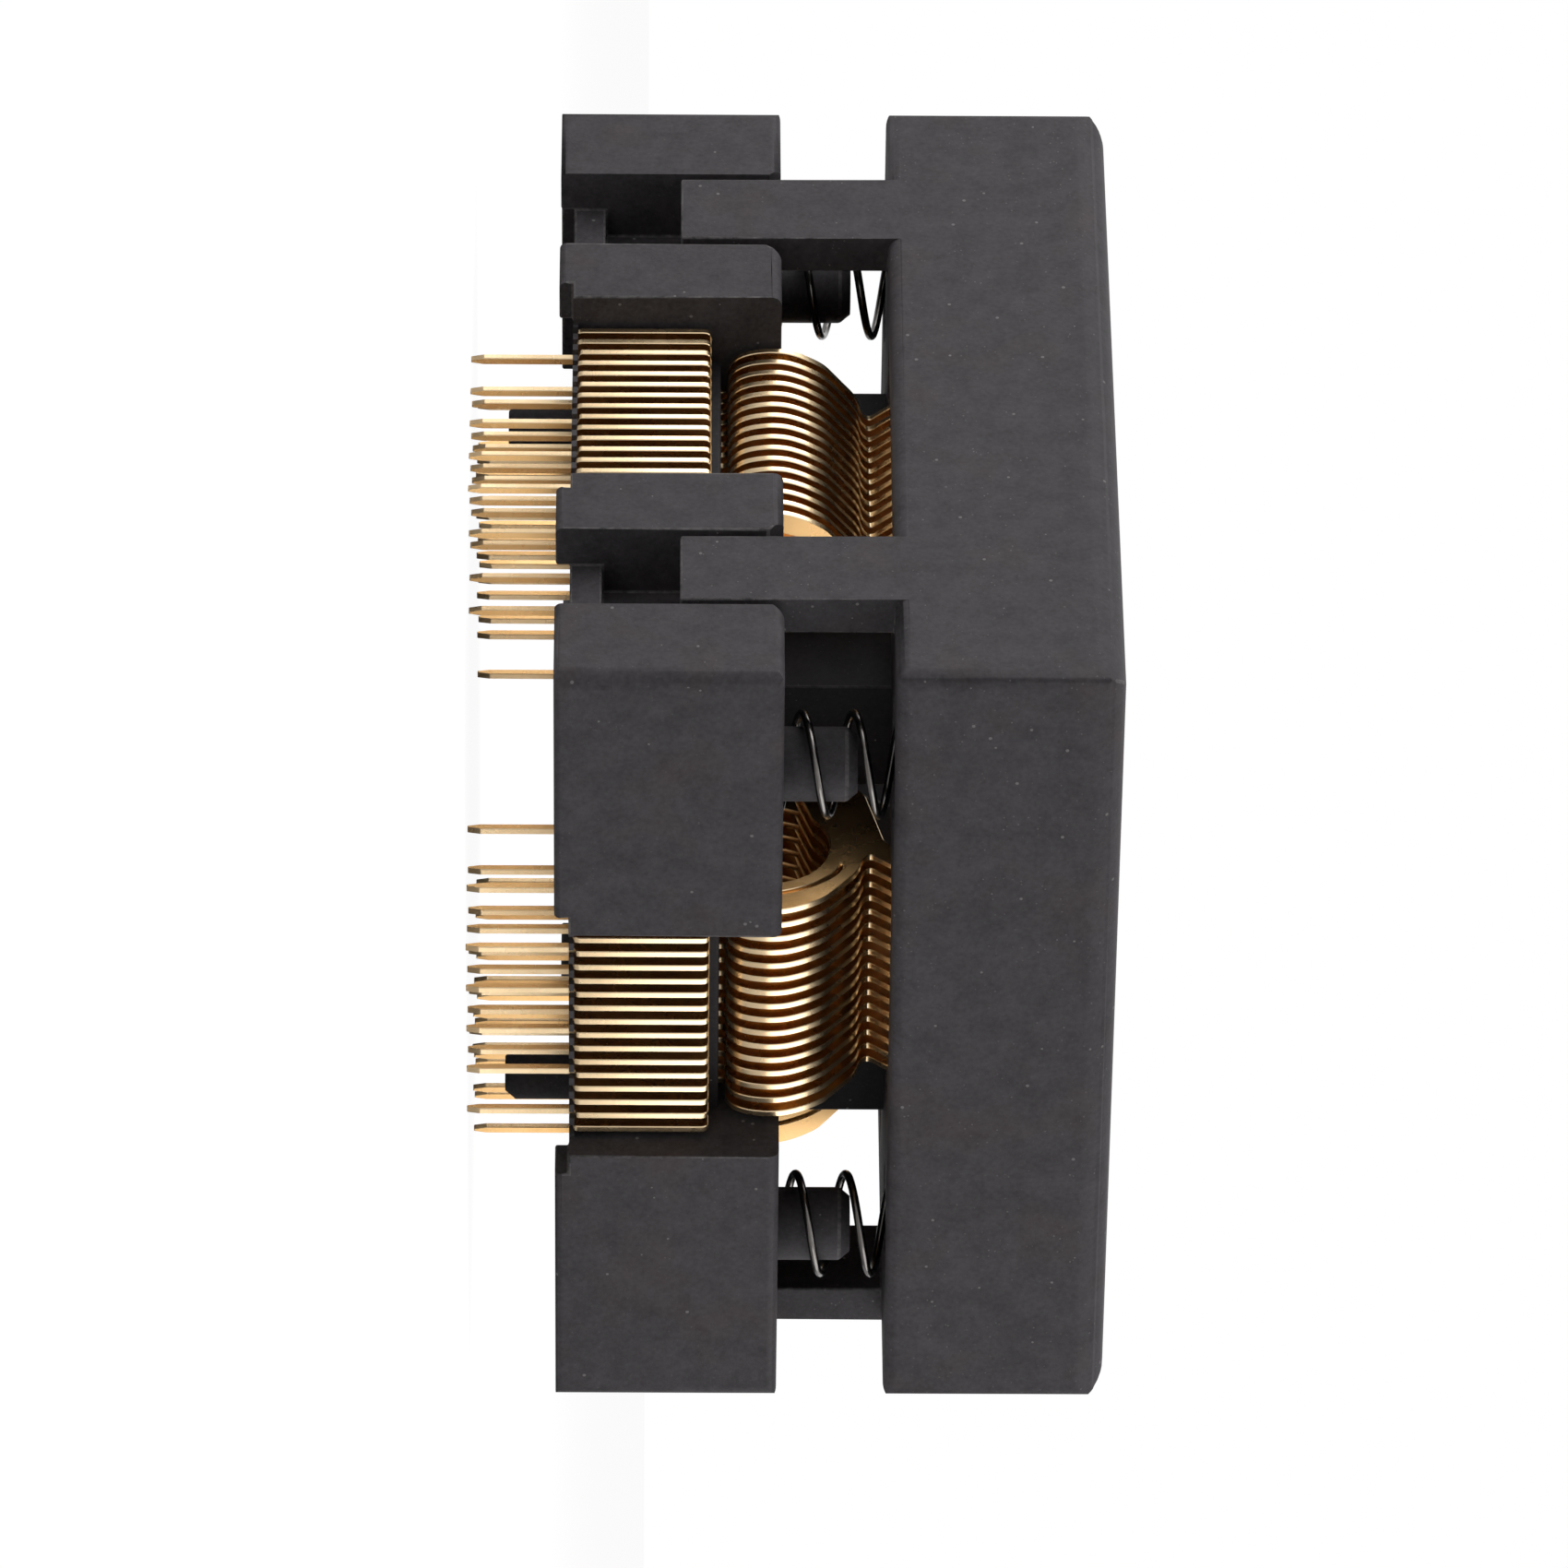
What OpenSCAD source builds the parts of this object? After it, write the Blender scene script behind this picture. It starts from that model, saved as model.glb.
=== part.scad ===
// Open-top test socket for a 64-lead quad flat package with a 0.5 mm lead pitch.
// All sizes in mm. The origin is under the middle, level with the pin tips, and +Z is up.
// Front is -Y, left is -X. The cover's legs run in slots in the left and right faces.
// Heights below are above the board surface, and lift() raises every piece by a pin's length.

/* [Body] */
// outside length along X
body_x = 26.8; // [24:0.1:30]
// outside length along Y
body_y = 26.5; // [24:0.1:30]
// radius of the upright corners
corner_r = 0.5; // [0.2:0.1:1]
// height of the base from the board
base_h = 6.37; // [5:0.01:8]
// rounding of the base's top edges
base_top_r = 0.3; // [0.1:0.1:1]
// rounding of the base's bottom edges
base_bottom_r = 0.2; // [0.1:0.1:0.8]
// how far the corner feet hold the floor off the board
foot_h = 0.4; // [0.2:0.1:1]
// half width of each side window
window_half = 4.08; // [4:0.01:5]

/* [Cover] */
// height of the cover's underside above the board, at rest
cover_z = 9.45; // [9:0.01:11]
// height of the cover
cover_h = 6.35; // [4:0.01:8]
// rounding of the cover's top edges
cover_top_r = 0.9; // [0.2:0.1:1.5]
// rounding of the cover's bottom edges
cover_bottom_r = 0.4; // [0.1:0.1:0.8]
// half length of the chip opening along X
open_x = 8.1; // [7:0.05:9]
// half length of the chip opening along Y
open_y = 7.0; // [6:0.05:8]
// how far the cover can be pressed down
travel = 2.0; // [1:0.1:2.1]
// nearer edge of a leg, from the middle
leg_in = 6.93; // [6:0.01:8]
// farther edge of a leg, from the middle
leg_out = 9.76; // [9:0.01:11]
// thickness of a leg
leg_t = 1.2; // [0.8:0.05:1.6]
// height of a leg's end above the board
leg_z = 3.48; // [3:0.01:4]

/* [Contacts] */
// spacing of the contacts
pitch = 0.5; // [0.4:0.05:0.8]
// thickness of the contact sheet
sheet = 0.2; // [0.1:0.01:0.3]
// distance of the outer lug edge from the middle
lug_n = 12.45; // [12:0.01:13]
// length of a pin below the board surface
pin_l = 2.5; // [2:0.1:3.5]
// width of a pin across the sheet
pin_w = 0.23; // [0.15:0.01:0.3]
// distance of the outermost pin row from the middle
row_n = 12.15; // [11:0.01:12.2]
// spacing of the staggered pin rows
row_step = 2.0; // [1:0.1:2]

/* [Springs and posts] */
// distance of a spring from the middle along X
spring_x = 8.54; // [8:0.01:9.5]
// distance of a spring from the middle along Y
spring_y = 11.03; // [10.5:0.01:11.5]
// outside diameter of a spring
spring_d = 3.1; // [2.5:0.05:3.5]
// thickness of the spring wire
wire = 0.24; // [0.15:0.01:0.4]
// spacing of the open turns
coil_pitch = 1.44; // [1:0.01:2]
// diameter of a spring post
post_d = 2.1; // [1.5:0.05:2.4]
// height of a spring post above the board
post_z = 8.45; // [7:0.05:9]
// distance of a locating peg from the middle, both ways
peg_at = 6.65; // [5:0.05:8]
// diameter of a locating peg
peg_d = 1.5; // [1:0.05:2]
// length of a locating peg below the board surface
peg_l = 1.5; // [1:0.05:2.5]

/* [Hidden] */
$fn = 32;
comb_z = 4.2;          // top of the contact comb
comb_n = 11.9;         // outer end of the comb's ribs
well = 5.25;           // half width of the well for the seat
seat_x = 7.9;          // half length of the seat along X
seat_y = 6.8;          // half length of the seat along Y
guide_in = 4.3;        // inner edge of a corner guide
seat_floor = 5.2;      // where the corner guides stand in the base
rest_z = 6.65;         // chip platform
seat_top = 12.6;       // top of the corner guides
slot_in = leg_in - 0.29;
slot_out = leg_out + 0.23;
slot_x = body_x / 2 - 1.3;
hook_z = 4.22;         // top of a leg's hook
ledge_z = 4.25;        // ledge that the hook rests under
pocket_d = spring_d + 0.5;
spring_lo = base_h - 0.57;
spring_hi = cover_z + 2.75;
black = [0.07, 0.07, 0.075];
gold = [0.80, 0.60, 0.30];
steel = [0.45, 0.44, 0.43];

// ---- helpers ---------------------------------------------------------------

// the board surface is one pin length above the origin
module lift() { translate([0, 0, pin_l]) children(); }

// rectangle on a 2-D sheet from (-w/2, z0) to (w/2, z1), lower corners r0, upper corners r1
module card(w, z0, z1, r0, r1) {
  union() {
    translate([-w / 2, z0 + r0]) square([w, z1 - z0 - r0 - r1]);
    translate([-w / 2 + r1, z1 - r1 - 0.01]) square([w - 2 * r1, r1 + 0.01]);
    translate([-w / 2 + r0, z0]) square([w - 2 * r0, r0 + 0.01]);
    for (s = [-1, 1]) {
      translate([s * (w / 2 - r1), z1 - r1]) circle(r = r1);
      translate([s * (w / 2 - r0), z0 + r0]) circle(r = r0);
    }
  }
}

// block with rounded upright, top and bottom edges
module block(x, y, z0, z1, r0, r1, rv) {
  intersection() {
    rotate([90, 0, 0]) translate([0, 0, -y]) linear_extrude(2 * y) card(x, z0, z1, r0, r1);
    rotate([90, 0, 90]) translate([0, 0, -x]) linear_extrude(2 * x) card(y, z0, z1, r0, r1);
    translate([0, 0, z0 - 1]) linear_extrude(z1 - z0 + 2) card(x, -y / 2, y / 2, rv, rv);
  }
}

// a sheet shape drawn as (distance out, height), stood up across the front face
module stand(w) { rotate([90, 0, -90]) linear_extrude(w, center = true) children(); }

// copies a front feature round the four sides
module sides() { for (k = [0:3]) rotate([0, 0, -90 * k]) children(); }

module box(x0, x1, y0, y1, z0, z1) {
  translate([x0, y0, z0]) cube([x1 - x0, y1 - y0, z1 - z0]);
}

// ---- base -------------------------------------------------------------------

module leg_slot() {   // right side, far slot; mirrored to the other three
  box(slot_x, body_x, slot_in, slot_out, -1, base_h + 1);
  box(slot_x - 0.95, slot_x + 1, slot_in, slot_out, 1.3, ledge_z);
  // lead-in bevels at the mouth
  rotate([90, 0, 90]) translate([0, 0, slot_x]) linear_extrude(3)
    polygon([[slot_in - 0.45, base_h + 0.02], [slot_in + 0.1, base_h - 0.53], [slot_out - 0.1, base_h - 0.43],
             [slot_out + 0.35, base_h + 0.02], [slot_out + 0.35, base_h + 1], [slot_in - 0.45, base_h + 1]]);
}

module base() {
  color(black) lift() union() {
    difference() {
      block(body_x, body_y, 0, base_h, base_bottom_r, base_top_r, corner_r);
      // floor held off the board between the corner feet
      box(-body_x, body_x, -4.75, 4.75, -1, foot_h);
      box(-4.75, 4.75, -body_y, body_y, -1, foot_h);
      box(-slot_x, slot_x, -body_y / 2 + 1.3, body_y / 2 - 1.3, -1, foot_h);
      sides() {
        box(-window_half, window_half, -20, -lug_n + 0.03, -1, 20);
        box(-window_half, window_half, -20, -comb_n, foot_h + 0.15, 20);   // thin lip under the lugs
        box(-window_half, window_half, -20, -well + 0.01, comb_z, 20);
        // one slot for each contact, around the beam that it straddles
        for (i = [0:15]) translate([pitch * (i - 7.5), 0, 0]) stand(sheet + 0.04)
          polygon([[5.4, -1], [12.5, -1], [12.5, 5], [11.48, 5], [11.48, 2.1], [10.42, 2.1], [10.42, 5], [5.4, 5]]);
      }
      box(-well, well, -well, well, comb_z, 20);
      for (sx = [-1, 1], sy = [-1, 1]) {
        box(min(sx * 4, sx * (seat_x + 0.05)), max(sx * 4, sx * (seat_x + 0.05)),
            min(sy * 4, sy * (seat_y + 0.05)), max(sy * 4, sy * (seat_y + 0.05)), seat_floor, 20);
        mirror([sx < 0 ? 1 : 0, 0, 0]) mirror([0, sy < 0 ? 1 : 0, 0]) leg_slot();
        translate([sx * spring_x, sy * spring_y, spring_lo]) cylinder(d = pocket_d, h = 5);
      }
    }
    for (sx = [-1, 1], sy = [-1, 1]) translate([sx * spring_x, sy * spring_y, spring_lo - 0.5]) {
      cylinder(d = post_d, h = post_z - 0.3 - spring_lo + 0.5);
      translate([0, 0, post_z - 0.3 - spring_lo + 0.5]) cylinder(d1 = post_d, d2 = post_d - 0.5, h = 0.3);
    }
    for (s = [-1, 1]) translate([s * peg_at, -s * peg_at, 0]) {
      translate([0, 0, -peg_l + 0.3]) cylinder(d = peg_d, h = peg_l + 0.5);
      translate([0, 0, -peg_l]) cylinder(d1 = peg_d - 0.5, d2 = peg_d, h = 0.3);
    }
  }
}

// ---- seat for the chip --------------------------------------------------------

module ic_seat() {
  color(black) lift() difference() {
    union() {
      box(-5.2, 5.2, -5.2, 5.2, comb_z, rest_z);
      for (sx = [-1, 1], sy = [-1, 1])
        box(min(sx * guide_in, sx * seat_x), max(sx * guide_in, sx * seat_x),
            min(sy * guide_in, sy * seat_y), max(sy * guide_in, sy * seat_y), seat_floor, seat_top);
    }
    // pocket for the package, widening upwards
    intersection() {
      rotate([90, 0, 0]) translate([0, 0, -10]) linear_extrude(20)
        polygon([[-5.05, rest_z], [5.05, rest_z], [5.05, 8.6], [6.9, 12.7], [-6.9, 12.7], [-5.05, 8.6]]);
      rotate([90, 0, 90]) translate([0, 0, -10]) linear_extrude(20)
        polygon([[-5.05, rest_z], [5.05, rest_z], [5.05, 8.6], [5.95, 12.7], [-5.95, 12.7], [-5.05, 8.6]]);
    }
  }
}

// ---- cover ---------------------------------------------------------------------

module leg() {   // right side, far leg
  box(body_x / 2 - leg_t, body_x / 2, leg_in, leg_out, leg_z, cover_z + 1.5);
  box(slot_x - 0.45, body_x / 2 - 0.5, leg_in, leg_out, leg_z, hook_z);
}

module cover() {
  color(black) lift() union() {
    difference() {
      block(body_x, body_y, cover_z, cover_z + cover_h, cover_bottom_r, cover_top_r, corner_r);
      box(-open_x, open_x, -open_y, open_y, 0, 30);
      // bevelled mouth of the opening
      intersection() {
        rotate([90, 0, 0]) translate([0, 0, -15]) linear_extrude(30)
          polygon([[-open_x, 14.8], [open_x, 14.8], [open_x + 1.2, 16], [-open_x - 1.2, 16]]);
        rotate([90, 0, 90]) translate([0, 0, -15]) linear_extrude(30)
          polygon([[-open_y, 14.8], [open_y, 14.8], [open_y + 1.2, 16], [-open_y - 1.2, 16]]);
      }
      // recess over each row of contact levers
      sides() box(-4.35, 4.35, -11.7, -6, 0, 11.2);
      for (sx = [-1, 1], sy = [-1, 1])
        translate([sx * spring_x, sy * spring_y, 0]) cylinder(d = pocket_d, h = spring_hi);
    }
    for (sx = [-1, 1], sy = [-1, 1]) mirror([sx < 0 ? 1 : 0, 0, 0]) mirror([0, sy < 0 ? 1 : 0, 0]) leg();
  }
}

// ---- springs ---------------------------------------------------------------------

turns_open = (spring_hi - spring_lo - wire - 2 * 1.08 * wire) / coil_pitch;
turns_all = turns_open + 2;
function coil_z(t) = spring_lo + wire / 2
  + (t < 1 ? t * 1.08 * wire
     : t < 1 + turns_open ? 1.08 * wire + (t - 1) * coil_pitch
     : 1.08 * wire + turns_open * coil_pitch + (t - 1 - turns_open) * 1.08 * wire);
steps = 66;
around = 5;
coil_pts = [for (i = [0:steps]) let (t = turns_all * i / steps, a = -39.4 + 360 * t, r = (spring_d - wire) / 2)
  for (j = [0:around - 1]) let (b = 360 * j / around, q = r + wire / 2 * cos(b))
    [q * cos(a), q * sin(a), coil_z(t) + wire / 2 * sin(b)]];
coil_faces = concat(
  [[for (j = [0:around - 1]) j]],
  [for (i = [0:steps - 1], j = [0:around - 1]) let (a = i * around + j, b = i * around + (j + 1) % around)
    [a, a + around, b + around, b]],
  [[for (j = [around - 1:-1:0]) steps * around + j]]);

module spring(sx, sy) {
  color(steel) lift() translate([sx * spring_x, sy * spring_y, 0]) polyhedron(coil_pts, coil_faces);
}

// ---- contacts ---------------------------------------------------------------------

// outline as [distance out, height]; p is where the pin leaves
function outline(p) = concat(
  [[5.5, 0.5], [p - pin_w / 2, 0.5], [p - pin_w / 2, -pin_l], [p + pin_w / 2, -pin_l], [p + pin_w / 2, 0.5 + max(0, p + pin_w / 2 - lug_n + 0.25)]],
  p + pin_w / 2 > lug_n - 0.25 ? [] : [[lug_n - 0.25, 0.5]],
  [[lug_n, 0.75], [lug_n, 4.11], [lug_n - 0.25, 4.36], [11.6, 4.36], [11.6, 2.0], [10.3, 2.0], [10.3, 4.83],
   [11.06, 4.85], [11.58, 5.27], [11.76, 6.05], [11.6, 6.85], [11.2, 7.58], [10.62, 8.1],
   [9.9, 8.57], [9.34, 8.89], [10.6, 10.65], [10.45, 11.05], [9.95, 10.95], [8.75, 9.3],
   [6.6, 8.75], [5.6, 7.5], [5.6, 6.72], [6.0, 6.72], [7.72, 7.28],
   [8.9, 7.77], [10.35, 6.95], [10.35, 5.25], [8.9, 4.43], [7.45, 5.25], [7.3, 6.8], [6.2, 6.6], [5.5, 6.6]]);

// places of the contacts whose pins leave in row a (outermost), b and c, and of the two end contacts, row d,
// whose pins are in line with row c
places = [[2:3:14], [1:3:13], [3:3:12], [0:15:15]];

module contacts(k, row) {   // k: 0 front, 1 left, 2 back, 3 right
  color(gold) lift() rotate([0, 0, -90 * k])
    for (i = places[row]) translate([pitch * (i - 7.5), 0, 0])
      stand(sheet) polygon(outline(row_n - row_step * min(row, 2)));
}

// ---- nodes ------------------------------------------------------------------------

base();
ic_seat();
cover();
spring(-1, -1);  // spring_front_left
spring(1, -1);  // spring_front_right
spring(-1, 1);  // spring_back_left
spring(1, 1);  // spring_back_right
contacts(0, 0);  // contacts_front_row_a
contacts(0, 1);  // contacts_front_row_b
contacts(0, 2);  // contacts_front_row_c
contacts(0, 3);  // contacts_front_row_d
contacts(1, 0);  // contacts_left_row_a
contacts(1, 1);  // contacts_left_row_b
contacts(1, 2);  // contacts_left_row_c
contacts(1, 3);  // contacts_left_row_d
contacts(2, 0);  // contacts_back_row_a
contacts(2, 1);  // contacts_back_row_b
contacts(2, 2);  // contacts_back_row_c
contacts(2, 3);  // contacts_back_row_d
contacts(3, 0);  // contacts_right_row_a
contacts(3, 1);  // contacts_right_row_b
contacts(3, 2);  // contacts_right_row_c
contacts(3, 3);  // contacts_right_row_d
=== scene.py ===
"""An open-top test socket for a 64-lead quad flat package: black mouldings, gold contacts, four coil springs."""

import math

import bmesh
import bpy
import numpy as np
from mathutils import Matrix, Vector
from mathutils.geometry import tessellate_polygon


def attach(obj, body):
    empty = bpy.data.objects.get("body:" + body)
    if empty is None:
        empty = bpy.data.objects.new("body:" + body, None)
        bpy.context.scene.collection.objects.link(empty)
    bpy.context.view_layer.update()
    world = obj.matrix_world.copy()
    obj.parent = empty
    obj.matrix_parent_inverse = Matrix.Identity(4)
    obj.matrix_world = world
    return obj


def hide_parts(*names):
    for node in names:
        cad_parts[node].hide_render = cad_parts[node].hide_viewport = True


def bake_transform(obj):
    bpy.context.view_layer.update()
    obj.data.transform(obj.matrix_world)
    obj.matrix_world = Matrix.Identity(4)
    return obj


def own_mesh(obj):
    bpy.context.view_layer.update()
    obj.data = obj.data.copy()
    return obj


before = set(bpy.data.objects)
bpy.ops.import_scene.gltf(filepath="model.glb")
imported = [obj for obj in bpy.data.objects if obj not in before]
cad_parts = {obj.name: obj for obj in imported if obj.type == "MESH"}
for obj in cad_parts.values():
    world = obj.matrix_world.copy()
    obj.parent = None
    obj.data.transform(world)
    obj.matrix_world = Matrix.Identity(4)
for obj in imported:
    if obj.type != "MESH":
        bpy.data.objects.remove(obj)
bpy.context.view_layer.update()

MM = 0.001
BOARD = 2.5  # height of the board surface above the pin tips, mm
PITCH = 0.5  # spacing of the contacts, mm
SHEET = 0.2  # thickness of the contact sheet, mm
PIN_HALF = 0.115  # half width of a pin, mm
SIDES = ("front", "left", "back", "right")
ROWS = "abcd"  # pin rows, outermost first
ROW_OUT = (12.15, 10.15, 8.15, 8.15)  # how far out the pins of each row leave, mm
PLACES = (range(2, 16, 3), range(1, 16, 3), range(3, 15, 3), (0, 15))  # which contacts belong to each row


# ---------------------------------------------------------------- camera

CAMERA_AZIMUTH = -39.378  # degrees from the front face's normal
CAMERA_ELEVATION = -0.579
CAMERA_ROLL = 0.249
CAMERA_DISTANCE = 350.0  # mm
CAMERA_SHIFT = 0.956  # of its aim, to the right, mm
CAMERA_AIM_Z = 6.543 + BOARD
FOCAL_WIDTHS = 7.68716  # focal length over the sensor's width
SENSOR = 36.0


def place_camera():
    """Looks at the near corner almost level, turned a quarter so that the socket's up runs to the right."""
    a, e, r = (math.radians(v) for v in (CAMERA_AZIMUTH, CAMERA_ELEVATION, CAMERA_ROLL))
    back = Vector((math.sin(a) * math.cos(e), -math.cos(a) * math.cos(e), math.sin(e)))
    right = Vector((math.cos(a), math.sin(a), 0))
    up = back.cross(right)
    across = math.cos(r) * right + math.sin(r) * up
    rise = -math.sin(r) * right + math.cos(r) * up
    place = back * CAMERA_DISTANCE + right * CAMERA_SHIFT + Vector((0, 0, CAMERA_AIM_Z))
    lens = bpy.data.cameras.new("studio_camera")
    lens.sensor_width = SENSOR
    lens.lens = SENSOR * FOCAL_WIDTHS
    lens.clip_start = 0.01
    lens.clip_end = 10.0
    camera = bpy.data.objects.new("studio_camera", lens)
    turned = Matrix((rise, -across, back)).transposed().to_4x4()
    camera.matrix_world = Matrix.Translation(place * MM) @ turned
    bpy.context.collection.objects.link(camera)
    bpy.context.scene.camera = camera


place_camera()
bpy.context.scene.view_settings.view_transform = "Standard"


# ---------------------------------------------------------------- shader expressions


class Value:
    """A shader socket that adds Math nodes when it is used in arithmetic."""

    def __init__(self, finish, socket):
        self.finish, self.socket = finish, socket

    def _math(self, operation, *values, clamp=False):
        settings = {"operation": operation, "use_clamp": clamp}
        return self.finish.node("ShaderNodeMath", settings, dict(enumerate(values)))

    def __add__(self, other):
        return self._math("ADD", self, other)

    def __sub__(self, other):
        return self._math("SUBTRACT", self, other)

    def __rsub__(self, other):
        return self._math("SUBTRACT", other, self)

    def __mul__(self, other):
        return self._math("MULTIPLY", self, other)

    def __truediv__(self, other):
        return self._math("DIVIDE", self, other)

    def __gt__(self, other):
        return self._math("GREATER_THAN", self, other)

    def __lt__(self, other):
        return self._math("LESS_THAN", self, other)

    __radd__, __rmul__ = __add__, __mul__

    def either(self, other):
        """The larger of the two."""
        return self._math("MAXIMUM", self, other)

    def clamp(self):
        return self._math("ADD", self, 0.0, clamp=True)

    def part(self, low, high):
        """0 below low, 1 above high, straight between."""
        return ((self - low) / (high - low)).clamp()


class Finish:
    """One material, or the world, and the short cuts that fill it."""

    def __init__(self, name, world=False):
        self.material = (bpy.data.worlds if world else bpy.data.materials).new(name)
        self.material.use_nodes = True
        self.nodes = self.material.node_tree.nodes
        self.links = self.material.node_tree.links
        self.nodes.clear()
        self.output = self.nodes.new("ShaderNodeOutputWorld" if world else "ShaderNodeOutputMaterial")

    def node(self, kind, settings=None, values=None, out=0):
        """Adds a node: its settings first, then the numbers or links of its sockets. Returns the output named."""
        made = self.nodes.new(kind)
        for key, value in (settings or {}).items():
            setattr(made, key, value)
        for key, value in (values or {}).items():
            if isinstance(value, Value):
                self.links.new(value.socket, made.inputs[key])
            else:
                made.inputs[key].default_value = value
        self.last = made
        return Value(self, made.outputs[out])

    def also(self, out):
        """Another output of the node made last."""
        return Value(self, self.last.outputs[out])

    def finished(self, surface):
        """Joins the surface to the output and returns the material."""
        self.links.new(surface.socket, self.output.inputs["Surface"])
        return self.material

    def place(self, shift=(0, 0, 0), scale=(1, 1, 1)):
        """Object coordinates in mm, moved and scaled."""
        raw = self.node("ShaderNodeTexCoord", out="Object")
        values = {"Vector": raw, "Location": shift, "Scale": [s / MM for s in scale]}
        return self.node("ShaderNodeMapping", {}, values)

    def noise(self, size, detail=2.0, roughness=0.5, shift=(0, 0, 0)):
        """Smooth noise whose patches are about size mm across."""
        where = self.place(shift, [1 / size] * 3)
        values = {"Vector": where, "Scale": 1.0, "Detail": detail, "Roughness": roughness}
        return self.node("ShaderNodeTexNoise", {}, values)

    def specks(self, size, reach, share, shift):
        """1 inside small dots, one to a cell size mm across, in the given share of the cells."""
        where = self.place(shift, [1 / size] * 3)
        near = self.node("ShaderNodeTexVoronoi", {}, {"Vector": where, "Scale": 1.0}, "Distance")
        draw = self.node("ShaderNodeTexWhiteNoise", {"noise_dimensions": "3D"}, {"Vector": self.also("Position")})
        return (near < reach) * (draw > 1 - share)

    def mix(self, amount, first, second):
        """Colour from first to second by amount."""
        return self.node("ShaderNodeMix", {"data_type": "RGBA"}, {0: amount, 6: first, 7: second}, out=2)

    def shade(self, **values):
        """The Principled shader; keys are its socket names with _ for a space."""
        sockets = {key.replace("_", " "): value for key, value in values.items()}
        return self.finished(self.node("ShaderNodeBsdfPrincipled", {}, sockets))


def rgb(r, g, b):
    return (r, g, b, 1.0)


FIBRE_END = rgb(0.30, 0.29, 0.28)
PALE_DUST = rgb(0.55, 0.53, 0.52)
SCUFFED_HIGHLIGHT = rgb(0.22, 0.21, 0.205)


def moulded_black(name, tone, wear_highlight, shift, dust=0.1):
    """Glass-filled black plastic: fine mottling, a faint warm cast, sparse pale fibre ends, dust and a dull grain.

    tone is the middle colour, the next argument the strength of the pale scuffs, which are wear and also painted
    highlight on bevelled edges; shift moves the pattern in mm."""
    f = Finish(name)
    cloud = f.noise(0.9, 4.0, 0.65, shift=shift)
    grain = f.noise(0.14, 3.0, 0.6, shift=shift)
    warm = f.noise(2.4, 3.0, 0.6, shift=(shift[0] + 7, shift[1], shift[2]))
    dark = rgb(*(c * 0.66 for c in tone))
    pale = rgb(*(c * 1.5 for c in tone))
    colour = f.mix((cloud * 0.55 + grain * 0.45).part(0.3, 0.7), dark, pale)
    colour = f.mix(warm.part(0.55, 0.8) * 0.3, colour, rgb(tone[0] * 1.5, tone[1] * 1.05, tone[2] * 0.95))
    colour = f.mix(f.specks(0.42, 0.12, 0.14, shift) * 0.5, colour, FIBRE_END)
    settled = f.noise(1.1, 3.0, 0.6, shift=(shift[0], shift[1], shift[2] + 5)).part(0.4, 0.7)
    colour = f.mix(f.specks(0.13, 0.2, 0.2, shift) * settled * dust, colour, PALE_DUST)
    if wear_highlight:
        scuff_highlight = f.noise(0.35, 4.0, 0.7, shift=(shift[0], shift[1] + 11, shift[2])).part(0.35, 0.75)
        # pale scuffs on the bevels: wear, and painted highlight along the edges
        colour = f.mix(scuff_highlight * wear_highlight, colour, SCUFFED_HIGHLIGHT)
    fine = f.noise(0.055, 2.0, 0.5, shift=shift)
    bump = f.node("ShaderNodeBump", {}, {"Strength": 0.55, "Distance": 0.012 * MM, "Height": fine * 0.6 + grain})
    roughness = cloud * 0.16 + grain * 0.12 + 0.44
    return f.shade(Base_Color=colour, Roughness=roughness, Normal=bump, Specular_IOR_Level=0.1)


def plated_gold(name, dull, bright, low_roughness):
    """Gold plate over stamped strip: a soft sheen that changes a little along each contact."""
    f = Finish(name)
    drift = f.noise(1.6, 3.0, 0.6)
    streak = f.noise(0.09, 2.0, 0.5)
    colour = f.mix(drift.part(0.3, 0.7), dull, bright)
    bump = f.node("ShaderNodeBump", {}, {"Strength": 0.3, "Distance": 0.004 * MM, "Height": streak})
    return f.shade(Base_Color=colour, Metallic=1.0, Roughness=drift * 0.14 + low_roughness, Normal=bump)


def shade_darkened_steel(name):
    """Drawn wire, fairly polished, whose colour is darkened as painted shade for the dark surroundings it
    reflects.
    """
    f = Finish(name)
    drift = f.noise(0.4, 3.0, 0.6)
    colour = f.mix(drift, rgb(0.10, 0.092, 0.088), rgb(0.20, 0.19, 0.18))
    return f.shade(Base_Color=colour, Metallic=1.0, Roughness=drift * 0.12 + 0.16)


PLASTIC_TONE = (0.056, 0.052, 0.056)
# half the plastic tone, used on the seat moulding and, as painted shade, on the comb beams under the contact
# springs
SEAT_AND_SHADE_TONE = tuple(0.5 * c for c in PLASTIC_TONE)
base_black = moulded_black("base_black", PLASTIC_TONE, 0.0, (3, 5, 1))
base_worn_highlit = moulded_black("base_worn_highlit_edge", PLASTIC_TONE, 0.75, (3, 5, 1))
cover_black = moulded_black("cover_black", PLASTIC_TONE, 0.0, (19, 2, 8), dust=0.22)
cover_worn_highlit = moulded_black("cover_worn_highlit_edge", PLASTIC_TONE, 0.75, (19, 2, 8), dust=0.22)
seat_and_shade_black = moulded_black("seat_and_shade_black", SEAT_AND_SHADE_TONE, 0.0, (31, 4, 6))
seat_worn_highlit = moulded_black("seat_worn_highlit_edge", PLASTIC_TONE, 0.35, (31, 4, 6))
cut_gold = plated_gold("contact_cut_edge", rgb(0.82, 0.61, 0.36), rgb(0.89, 0.69, 0.43), 0.2)
# the flat sides get a darker, browner gold than the cut edges: painted shade for the dark surroundings they
# reflect
shaded_flat_gold = plated_gold("contact_flat_side_painted_shade", rgb(0.62, 0.37, 0.15), rgb(0.72, 0.46, 0.21), 0.2)
shade_darkened_wire = shade_darkened_steel("spring_wire_painted_shade")


# ---------------------------------------------------------------- mesh helpers


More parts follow.
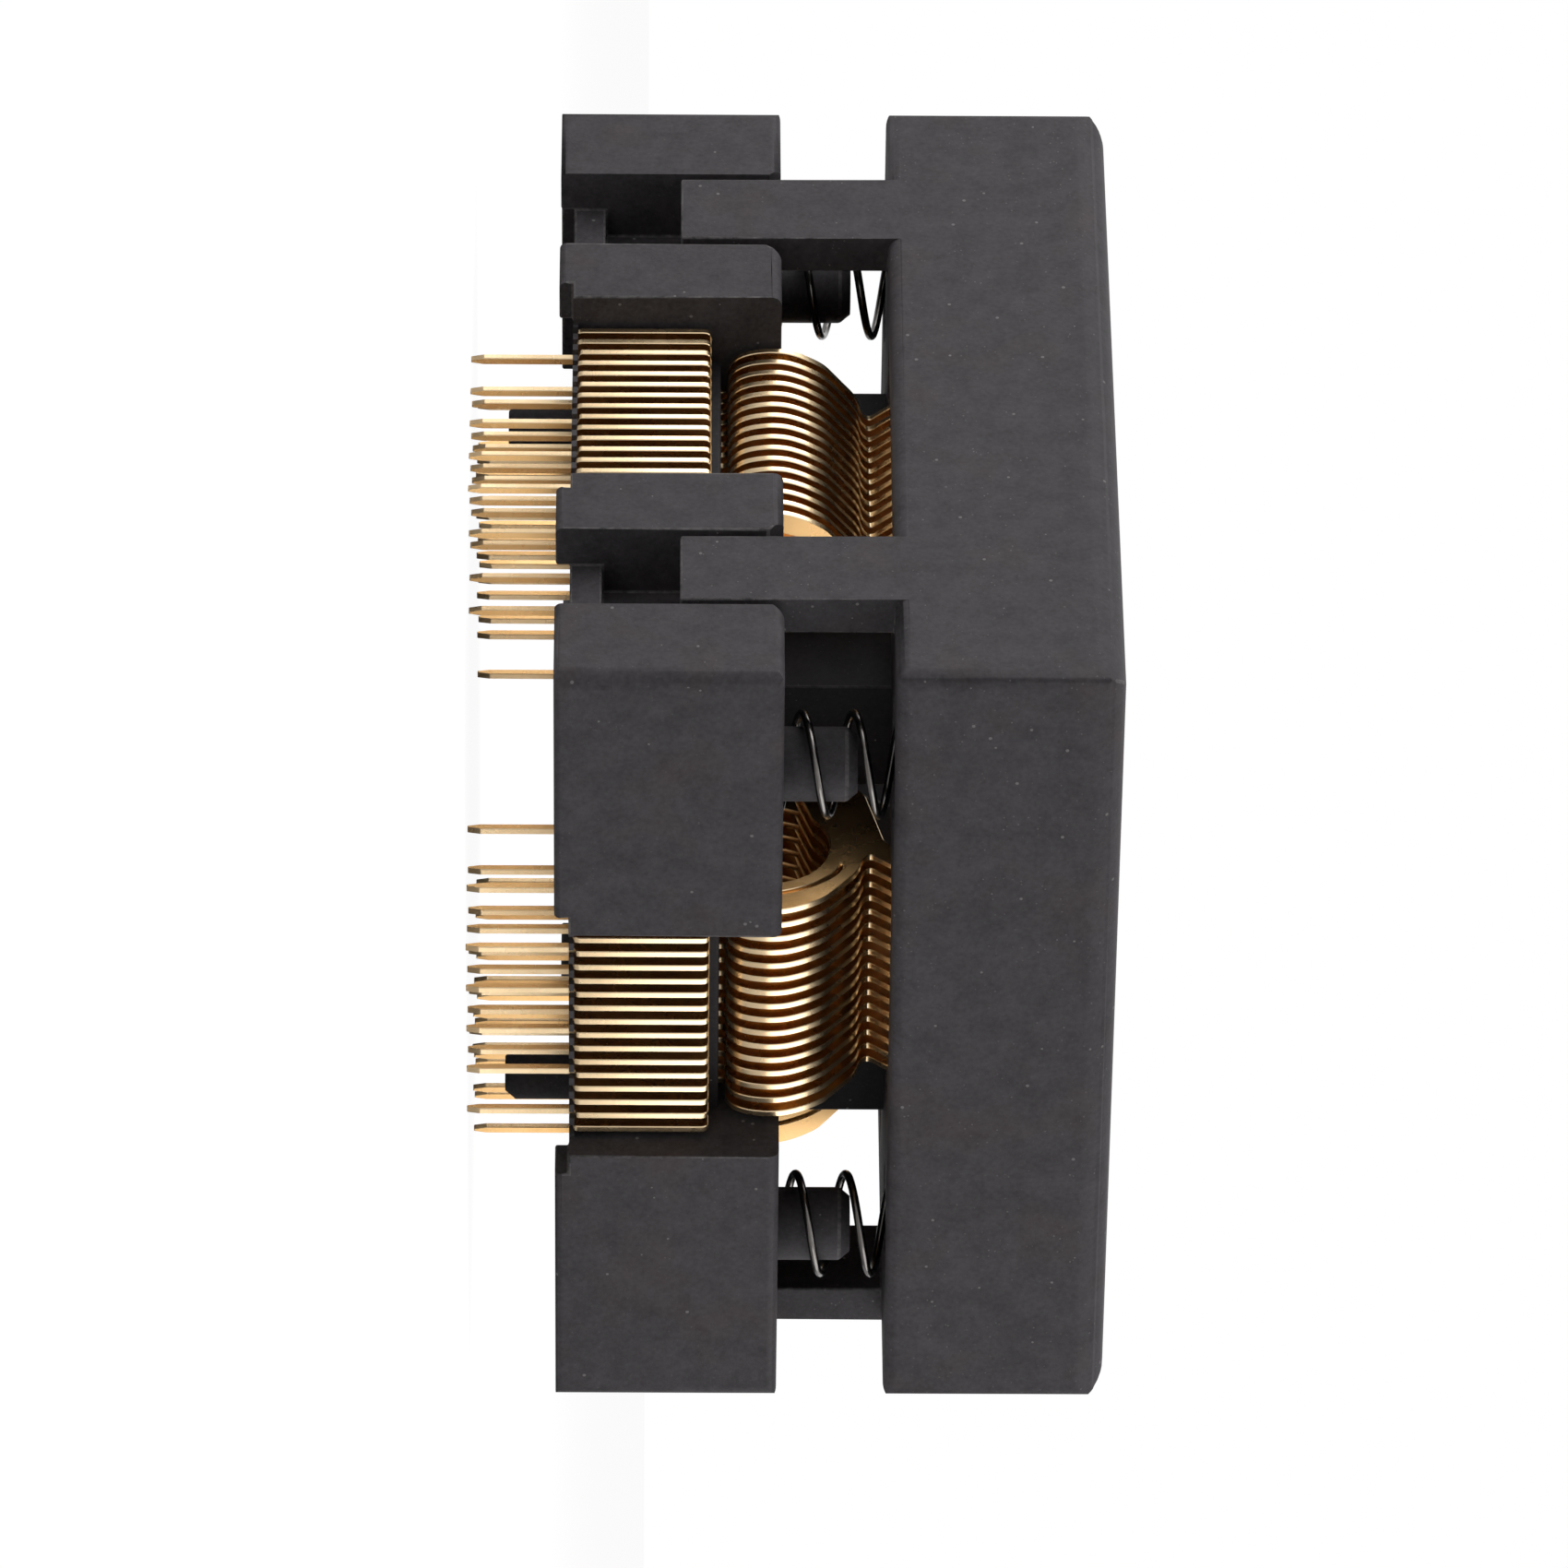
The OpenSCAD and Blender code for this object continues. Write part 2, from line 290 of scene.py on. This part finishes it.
def new_piece(name, points, faces, materials, smooth=35.0):
    """A mesh object at the origin from points in mm above the board; edges past smooth degrees stay sharp."""
    mesh = bpy.data.meshes.new(name)
    points = np.asarray(points, float) + (0, 0, BOARD)
    mesh.from_pydata(points * MM, [], faces)
    mesh.validate()
    mesh.update()
    mesh.polygons.foreach_set("use_smooth", np.ones(len(mesh.polygons), bool))
    mesh.set_sharp_from_angle(angle=math.radians(smooth))
    for material in materials:
        mesh.materials.append(material)
    piece = bpy.data.objects.new(name, mesh)
    bpy.context.collection.objects.link(piece)
    return piece


# ---------------------------------------------------------------- mouldings

SHARP = math.radians(28)  # edges that turn more than this are broken
FLAT = math.radians(1.0)  # faces that turn less than this are one face
WELD = 0.0005  # mm
SHORTEST = 2.5  # shortest edge that takes a bevel, in bevel widths
SQUARE = 0.9999  # a normal with a part above this is square to an axis

def moulding(node, name, material, worn_highlit, body, edge=0.06, keep=None):
    """A copy of the solid with its loose triangles merged and every sharp edge broken by a small bevel,
    pale-scuffed as wear and as painted highlight along the edges.

    keep(points) says which edge ends, in mm above the board, may be bevelled."""
    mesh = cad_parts[node].data.copy()
    mesh.name = name
    mesh.materials.clear()
    bm = bmesh.new()
    bm.from_mesh(mesh)
    bmesh.ops.remove_doubles(bm, verts=bm.verts, dist=WELD * MM)
    bmesh.ops.dissolve_limit(bm, angle_limit=FLAT, verts=bm.verts, edges=bm.edges)
    weight = bm.edges.layers.float.new("bevel_weight_edge")
    for e in bm.edges:
        if len(e.link_faces) != 2 or e.calc_face_angle(0.0) < SHARP:
            continue
        ends = np.array([v.co for v in e.verts]) / MM - (0, 0, BOARD)
        if e.calc_length() > SHORTEST * edge * MM and (keep is None or keep(ends).all()):
            e[weight] = 1.0
    bm.to_mesh(mesh)
    bm.free()
    normals = np.zeros(3 * len(mesh.polygons))
    mesh.polygons.foreach_get("normal", normals)
    curved = np.abs(normals.reshape(-1, 3)).max(1) < SQUARE
    mesh.polygons.foreach_set("use_smooth", curved)
    mesh.set_sharp_from_angle(angle=SHARP)
    mesh.materials.append(material)
    mesh.materials.append(worn_highlit)
    mesh.polygons.foreach_set("material_index", np.zeros(len(mesh.polygons), int))
    piece = bpy.data.objects.new(name, mesh)
    bpy.context.collection.objects.link(piece)
    bevel = piece.modifiers.new("broken_edges", "BEVEL")
    bevel.limit_method = "WEIGHT"
    bevel.width = edge * MM
    bevel.segments = 2
    bevel.use_clamp_overlap = False
    bevel.material = 1
    even = piece.modifiers.new("flat_faces", "WEIGHTED_NORMAL")
    even.mode = "FACE_AREA"
    even.keep_sharp = True
    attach(piece, body)
    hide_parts(node)


WINDOW_HALF = 4.1  # just past the side of a window
LUG_FRONT = 12.5  # just past the outer edge of the lugs
MOUTH_FACE, MOUTH_NEAR, MOUTH_FAR, MOUTH_LOW = 13.0, 9.9, 10.5, 5.9  # around the outer mouth corner of a leg slot


def clear_of_comb(p):
    """True outside the ribs that hold the contacts and the outer mouth corner of each leg slot."""
    x, y = abs(p[:, 0]), abs(p[:, 1])
    ribs = (np.minimum(x, y) < WINDOW_HALF) & (np.maximum(x, y) < LUG_FRONT)
    mouth = (x > MOUTH_FACE) & (y > MOUTH_NEAR) & (y < MOUTH_FAR) & (p[:, 2] > MOUTH_LOW)
    return ~(ribs | mouth)


moulding("base", "base_moulding", base_black, base_worn_highlit, "base", keep=clear_of_comb)
moulding("ic_seat", "seat_moulding", seat_and_shade_black, seat_worn_highlit, "base")
moulding("cover", "cover_moulding", cover_black, cover_worn_highlit, "cover")


# ---------------------------------------------------------------- springs

SPRING_AT = (8.54, 11.03)
SPRING_R = 1.43  # to the middle of the wire
WIRE_R = 0.12
SPRING_LOW, SPRING_HIGH = 5.8, 12.2
COIL_PITCH = 1.44
CLOSED_RISE = 0.26  # rise of each closed end turn
FIRST_ANGLE = -39.4  # degrees
COIL_STEPS = 40  # along one turn
WIRE_SIDES = 12


def coil(name, node, sx, sy):
    """A right-handed helix with closed ends: a small circle carried along (r cos a, r sin a, height(a)).

    The height rises slowly over the first and last turn and evenly between, with the bends smoothed, and
    the wire narrows at its two cut ends."""
    length = SPRING_HIGH - SPRING_LOW
    open_turns = (length - 2 * WIRE_R - 2 * CLOSED_RISE) / COIL_PITCH
    turns = open_turns + 2
    t = np.linspace(0, turns, int(turns * COIL_STEPS) + 1)
    heights = np.cumsum([0, CLOSED_RISE, open_turns * COIL_PITCH, CLOSED_RISE])
    rise = np.interp(t, [0, 1, 1 + open_turns, turns], heights)
    soft = np.convolve(np.pad(rise, 6, "edge"), np.ones(13) / 13, "valid")
    rise = np.where((t > 0.3) & (t < turns - 0.3), soft, rise)
    a = (np.radians(FIRST_ANGLE) + 2 * math.pi * t)[:, None]
    b = np.linspace(0, 2 * math.pi, WIRE_SIDES, endpoint=False)
    thick = WIRE_R * np.clip(np.minimum(t, turns - t) / 0.02, 0.25, 1)[:, None]
    out = SPRING_R + thick * np.cos(b)
    high = SPRING_LOW + WIRE_R + rise[:, None] + thick * np.sin(b)
    points = np.stack([sx * SPRING_AT[0] + out * np.cos(a), sy * SPRING_AT[1] + out * np.sin(a), high], -1)
    n, m = points.shape[:2]
    i, j = np.meshgrid(np.arange(n - 1), np.arange(m), indexing="ij")
    k = (j + 1) % m
    quads = np.stack([i * m + j, (i + 1) * m + j, (i + 1) * m + k, i * m + k], -1).reshape(-1, 4)
    faces = quads.tolist() + [list(range(m)), list(range((n - 1) * m, n * m))[::-1]]
    piece = new_piece(name, points.reshape(-1, 3), faces, [shade_darkened_wire])
    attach(piece, "base")
    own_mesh(piece)
    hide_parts(node)


for across, sx in (("left", -1), ("right", 1)):
    for deep, sy in (("front", -1), ("back", 1)):
        coil(f"coil_{deep}_{across}", f"spring_{deep}_{across}", sx, sy)


# ---------------------------------------------------------------- contacts


def smooth_line(points, steps=5):
    """Catmull-Rom curve through the points: cubic runs whose slope at a point is that between its neighbours."""
    p = np.asarray(points, float)
    p = np.vstack([2 * p[0] - p[1], p, 2 * p[-1] - p[-2]])
    t = np.linspace(0, 1, steps, endpoint=False)[:, None]
    runs = []
    for a, b, c, d in zip(p[:-3], p[1:-2], p[2:-1], p[3:]):
        square, cube = 2 * a - 5 * b + 4 * c - d, 3 * b - a - 3 * c + d
        runs.append(0.5 * (2 * b + (c - a) * t + square * t**2 + cube * t**3))
    return np.vstack(runs + [p[-2:-1]])


def filleted(corners, steps=4):
    """Polyline from (out, up, radius) corners, each rounded by an arc-like quadratic curve of that radius."""
    q = np.asarray(corners, float)
    out = []
    for i, (x, z, r) in enumerate(q):
        here = q[i, :2]
        if r == 0 or i in (0, len(q) - 1):
            out.append(here)
            continue
        back, ahead = q[i - 1, :2] - here, q[i + 1, :2] - here
        lb, la = np.linalg.norm(back), np.linalg.norm(ahead)
        turn = math.acos(np.clip(np.dot(back, ahead) / (lb * la), -1, 1))
        cut = min(r / math.tan(turn / 2), 0.49 * lb, 0.49 * la)
        start, end = here + back / lb * cut, here + ahead / la * cut
        t = np.linspace(0, 1, steps + 1)[:, None]
        out.extend((1 - t) ** 2 * start + 2 * t * (1 - t) * here + t**2 * end)
    return np.array(out)


# all as (distance out, height above the board), mm
RING_CENTRE = np.array([8.9, 6.1])
RING_HOLE = 1.67  # radius
RING_OUTSIDE = [
    (11.06, 4.84), (11.32, 4.94), (11.53, 5.15), (11.67, 5.45), (11.74, 5.8), (11.76, 6.12), (11.72, 6.5),
    (11.6, 6.87), (11.42, 7.24), (11.18, 7.6), (10.89, 7.86), (10.57, 8.12), (10.2, 8.42), (9.92, 8.57),
    (9.6, 8.66), (9.42, 8.76), (9.345, 8.89), (9.4, 9.03), (9.56, 9.24), (9.79, 9.54), (10.3, 10.22),
]
SLIT_INSIDE = [
    (10.72, 5.1), (10.9, 5.55), (10.97, 6.05), (10.9, 6.5), (10.75, 6.92), (10.57, 7.28), (10.37, 7.57),
    (10.17, 7.8), (9.95, 7.96), (9.68, 8.04),
]
SLIT_WIDTH = 0.13
LUG_OUT = 12.45  # outer edge of the lug
PIN_TIP = (-2.14, -2.5, 0.05)  # heights where the taper starts and ends, and its half width there


def contact_outline(pin_at):
    """One stamped contact seen from its side: pin, bar, lug, stem, C-shaped spring, lever, nose and fixed arm.

    Straight runs with rounded corners, a smooth curve round the spring's outside, and an arc for its hole."""
    left, right = pin_at - PIN_HALF, pin_at + PIN_HALF
    start, end, tip_half = PIN_TIP
    pin = [(left, 0.5, 0.0), (left, start, 0.2), (pin_at - tip_half, end, 0.03),
           (pin_at + tip_half, end, 0.03), (right, start, 0.2)]
    lug_foot = [(right, 0.5, 0.05), (LUG_OUT, 0.5, 0.2)]
    if pin_at > 12:  # the outermost pin runs straight into the lug's foot
        lug_foot = [(right, 0.55, 0.02), (LUG_OUT, 0.62, 0.1)]
    lug_and_stem = [(LUG_OUT, 4.36, 0.22), (11.6, 4.36, 0.1), (11.6, 2.0, 0.15),
                    (10.3, 2.0, 0.2), (10.3, 4.83, 0.15), (10.8, 4.83, 0.0)]
    low = [(5.5, 0.5, 0.0)] + pin + lug_foot + lug_and_stem
    tip = [(10.3, 10.22, 0.0), (10.62, 10.65, 0.15), (10.5, 11.05, 0.2), (10.0, 11.0, 0.2), (8.75, 9.3, 0.5),
           (6.6, 8.75, 0.6), (5.6, 7.5, 0.5), (5.6, 6.72, 0.12), (6.0, 6.72, 0.1), (7.72, 7.28, 0.0)]
    turn = np.radians(np.linspace(135, -208, 26))[1:-1]
    hole = RING_CENTRE + RING_HOLE * np.stack([np.cos(turn), np.sin(turn)], 1)
    arm = [(7.43, 6.89, 0.0), (6.2, 6.6, 0.1), (5.5, 6.6, 0.1), (5.5, 0.6, 0.0)]
    return np.vstack([filleted(low), smooth_line(RING_OUTSIDE), filleted(tip)[1:], hole, filleted(arm)])


def slit_outline():
    """A narrow slit between the two leaves of the spring: a curve and the same curve moved away from the
    ring's centre, by less towards its two ends."""
    inside = smooth_line(SLIT_INSIDE, 3)
    away = inside - RING_CENTRE
    away /= np.linalg.norm(away, axis=1)[:, None]
    step = np.arange(len(inside))
    width = SLIT_WIDTH * np.clip(np.minimum(step, step[::-1]) / 2.0 + 0.4, 0, 1)
    return np.vstack([inside, (inside + away * width[:, None])[::-1]])


def loop_area(loop):
    """Area inside a closed loop, positive when it runs anticlockwise: half the sum of x z' - x' z."""
    after = np.roll(loop, -1, 0)
    return 0.5 * np.sum(loop[:, 0] * after[:, 1] - after[:, 0] * loop[:, 1])


def loop_normals(loop):
    """Unit normals to the right of a closed loop: each is square to the mean of the two runs that meet there."""
    ahead = np.roll(loop, -1, 0) - loop
    ahead /= np.linalg.norm(ahead, axis=1)[:, None]
    mean = ahead + np.roll(ahead, 1, 0)
    mean /= np.maximum(np.linalg.norm(mean, axis=1), 1e-9)[:, None]
    return np.stack([mean[:, 1], -mean[:, 0]], 1)


EASE = 0.022  # how far the stamped edges are eased, mm
SHORT_RUN = 0.004  # shorter runs of an outline are dropped, mm


def stamped(pin_at):
    """Points, quads and triangles of one contact: each outline is carried across the sheet in four layers, the
    outer two drawn in by the ease, and both sides are capped. The slit runs the other way round, so its
    normals point out of the metal too."""
    half = SHEET / 2
    layers = ((-half, EASE), (-half + EASE, 0.0), (half - EASE, 0.0), (half, EASE))
    points, quads, edges, index, start = [], [], [], [], 0
    for loop, way in ((contact_outline(pin_at), 1), (slit_outline(), -1)):
        loop = loop[np.linalg.norm(loop - np.roll(loop, 1, 0), axis=1) > SHORT_RUN]
        loop = loop[::int(math.copysign(1, loop_area(loop))) * way]
        normal = loop_normals(loop)
        n = len(loop)
        for w, inset in layers:
            points.append(np.column_stack([np.full(n, w), loop - normal * inset]))
        i, j = np.meshgrid(np.arange(len(layers) - 1), np.arange(n), indexing="ij")
        k = (j + 1) % n
        ring = np.stack([i * n + j, i * n + k, (i + 1) * n + k, (i + 1) * n + j], -1).reshape(-1, 4)
        quads.append(start + ring)
        edges.append(loop - normal * EASE)
        index.append(start + np.arange(n))
        start += len(layers) * n
    flat, near = np.concatenate(edges), np.concatenate(index)
    far = np.concatenate([run + (len(layers) - 1) * len(run) for run in index])
    fan = np.array(tessellate_polygon([[Vector((x, z, 0)) for x, z in edge] for edge in edges]))
    one, two = flat[fan[:, 1]] - flat[fan[:, 0]], flat[fan[:, 2]] - flat[fan[:, 0]]
    right_way = one[:, 0] * two[:, 1] - one[:, 1] * two[:, 0] > 0
    fan = np.where(right_way[:, None], fan, fan[:, ::-1])
    return np.vstack(points), np.vstack(quads), np.vstack([near[fan[:, ::-1]], far[fan]])


def quarter_turns(side):
    """Turns (along, outward) of the front face to (x, y) on the given side."""
    turn = -math.pi / 2 * side
    return np.array([[math.cos(turn), math.sin(turn)], [math.sin(turn), -math.cos(turn)]])


def contact_group(side, row):
    """The contacts of one side whose pins leave in one row: one stamped shape, set at each place and turned to
    its side. Quads have the gold of the cut edge, and the triangles of the caps a darker, browner gold that is
    painted shade on the flat sides."""
    shape, quads, caps = stamped(ROW_OUT[row])
    shift = PITCH * (np.array(PLACES[row]) - 7.5)
    along = shape[:, 0] + shift[:, None]
    flat = np.stack([along, np.broadcast_to(shape[:, 1], along.shape)], -1) @ quarter_turns(side).T
    high = np.broadcast_to(shape[:, 2], along.shape)[..., None]
    first = (np.arange(len(shift)) * len(shape))[:, None, None]
    faces = (quads + first).reshape(-1, 4).tolist() + (caps + first).reshape(-1, 3).tolist()
    name = f"{SIDES[side]}_row_{ROWS[row]}"
    points = np.concatenate([flat, high], -1).reshape(-1, 3)
    piece = new_piece(f"stamped_{name}", points, faces, [cut_gold, shaded_flat_gold], smooth=40.0)
    corners = np.zeros(len(piece.data.polygons), int)
    piece.data.polygons.foreach_get("loop_total", corners)
    # caps take the darker gold: painted shade
    piece.data.polygons.foreach_set("material_index", (corners == 3).astype(int))
    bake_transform(piece)
    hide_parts(f"contacts_{name}")


for side in range(4):
    for row in range(4):
        contact_group(side, row)


# ---------------------------------------------------------------- beams under the springs of the contacts


BEAM_OUT, BEAM_UP = 10.8, 4.36  # middle of a beam's section, mm
BEAM_HALF = (0.3, 0.28)
BEAM_END = 4.07


def comb_beam(side):
    """The black bar that the contacts straddle: a rounded rectangle carried along one side, in half-tone plastic
    darkened as painted shade.

    Its section is a superellipse of power 8, (cos a, sin a) with each part raised to a quarter."""
    a = np.linspace(0, 2 * math.pi, 40, endpoint=False)
    section = np.stack([np.cos(a), np.sin(a)], 1)
    section = np.sign(section) * np.abs(section) ** 0.25 * BEAM_HALF + (BEAM_OUT, BEAM_UP)
    m = len(a)
    along = np.repeat([-BEAM_END, BEAM_END], m)
    flat = np.stack([along, np.tile(section[:, 0], 2)], 1) @ quarter_turns(side).T
    points = np.column_stack([flat, np.tile(section[:, 1], 2)])
    j = np.arange(m)
    k = (j + 1) % m
    faces = np.stack([j, k, m + k, m + j], 1).tolist() + [j[::-1].tolist(), (m + j).tolist()]
    piece = new_piece(f"comb_beam_{SIDES[side]}", points, faces, [seat_and_shade_black])
    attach(piece, "base")


for side in range(4):
    comb_beam(side)


# ---------------------------------------------------------------- studio


WHITE = rgb(1, 1, 1)
FLOOR_REACH = 3000.0  # mm


def white_backdrop():
    """World: plain white to the camera, to reflections and through clear things, a dim fill to everything else."""
    f = Finish("studio", world=True)
    bpy.context.scene.world = f.material
    camera = f.node("ShaderNodeLightPath", out="Is Camera Ray")
    clear, glossy = f.also("Is Transmission Ray"), f.also("Is Glossy Ray")
    shown = f.node("ShaderNodeBackground", {}, {"Color": WHITE})
    fill = f.node("ShaderNodeBackground", {}, {"Color": WHITE, "Strength": 0.1})
    values = {0: camera.either(clear).either(glossy), 1: fill, 2: shown}
    f.finished(f.node("ShaderNodeMixShader", {}, values))


def pale_floor():
    """A wide flat sheet under the pins, white to the camera with a faint shadow."""
    f = Finish("pale_floor")
    dull = f.node("ShaderNodeBsdfDiffuse", {}, {"Color": rgb(0.82, 0.82, 0.82)})
    glow = f.node("ShaderNodeEmission", {}, {"Color": WHITE, "Strength": 1.18})
    camera = f.node("ShaderNodeLightPath", out="Is Camera Ray")
    f.finished(f.node("ShaderNodeMixShader", {}, {0: camera * 0.8, 1: dull, 2: glow}))
    corners = [(x * FLOOR_REACH, y * FLOOR_REACH, -BOARD) for x, y in ((-1, -1), (1, -1), (1, 1), (-1, 1))]
    new_piece("floor", corners, [[0, 1, 2, 3]], [f.material])


LAMP_DISTANCE = 300.0  # mm
SOCKET_MIDDLE = Vector((0, 0, 9))


def lamp(name, power, size, azimuth, elevation):
    """A square soft light of size mm aimed at the middle of the socket, placed by angles as the camera is."""
    a, e = math.radians(azimuth), math.radians(elevation)
    back = Vector((math.sin(a) * math.cos(e), -math.cos(a) * math.cos(e), math.sin(e)))
    light = bpy.data.lights.new(name, "AREA")
    light.energy = power
    light.size = size * MM
    made = bpy.data.objects.new(name, light)
    made.location = (back * LAMP_DISTANCE + SOCKET_MIDDLE) * MM
    made.rotation_euler = back.to_track_quat("Z", "Y").to_euler()
    bpy.context.collection.objects.link(made)


white_backdrop()
pale_floor()
lamp("soft_box_left", 1.15, 380.0, -124.0, 8.0)
lamp("soft_box_right", 0.85, 380.0, 46.0, 8.0)
lamp("soft_box_above", 0.35, 300.0, -40.0, 80.0)
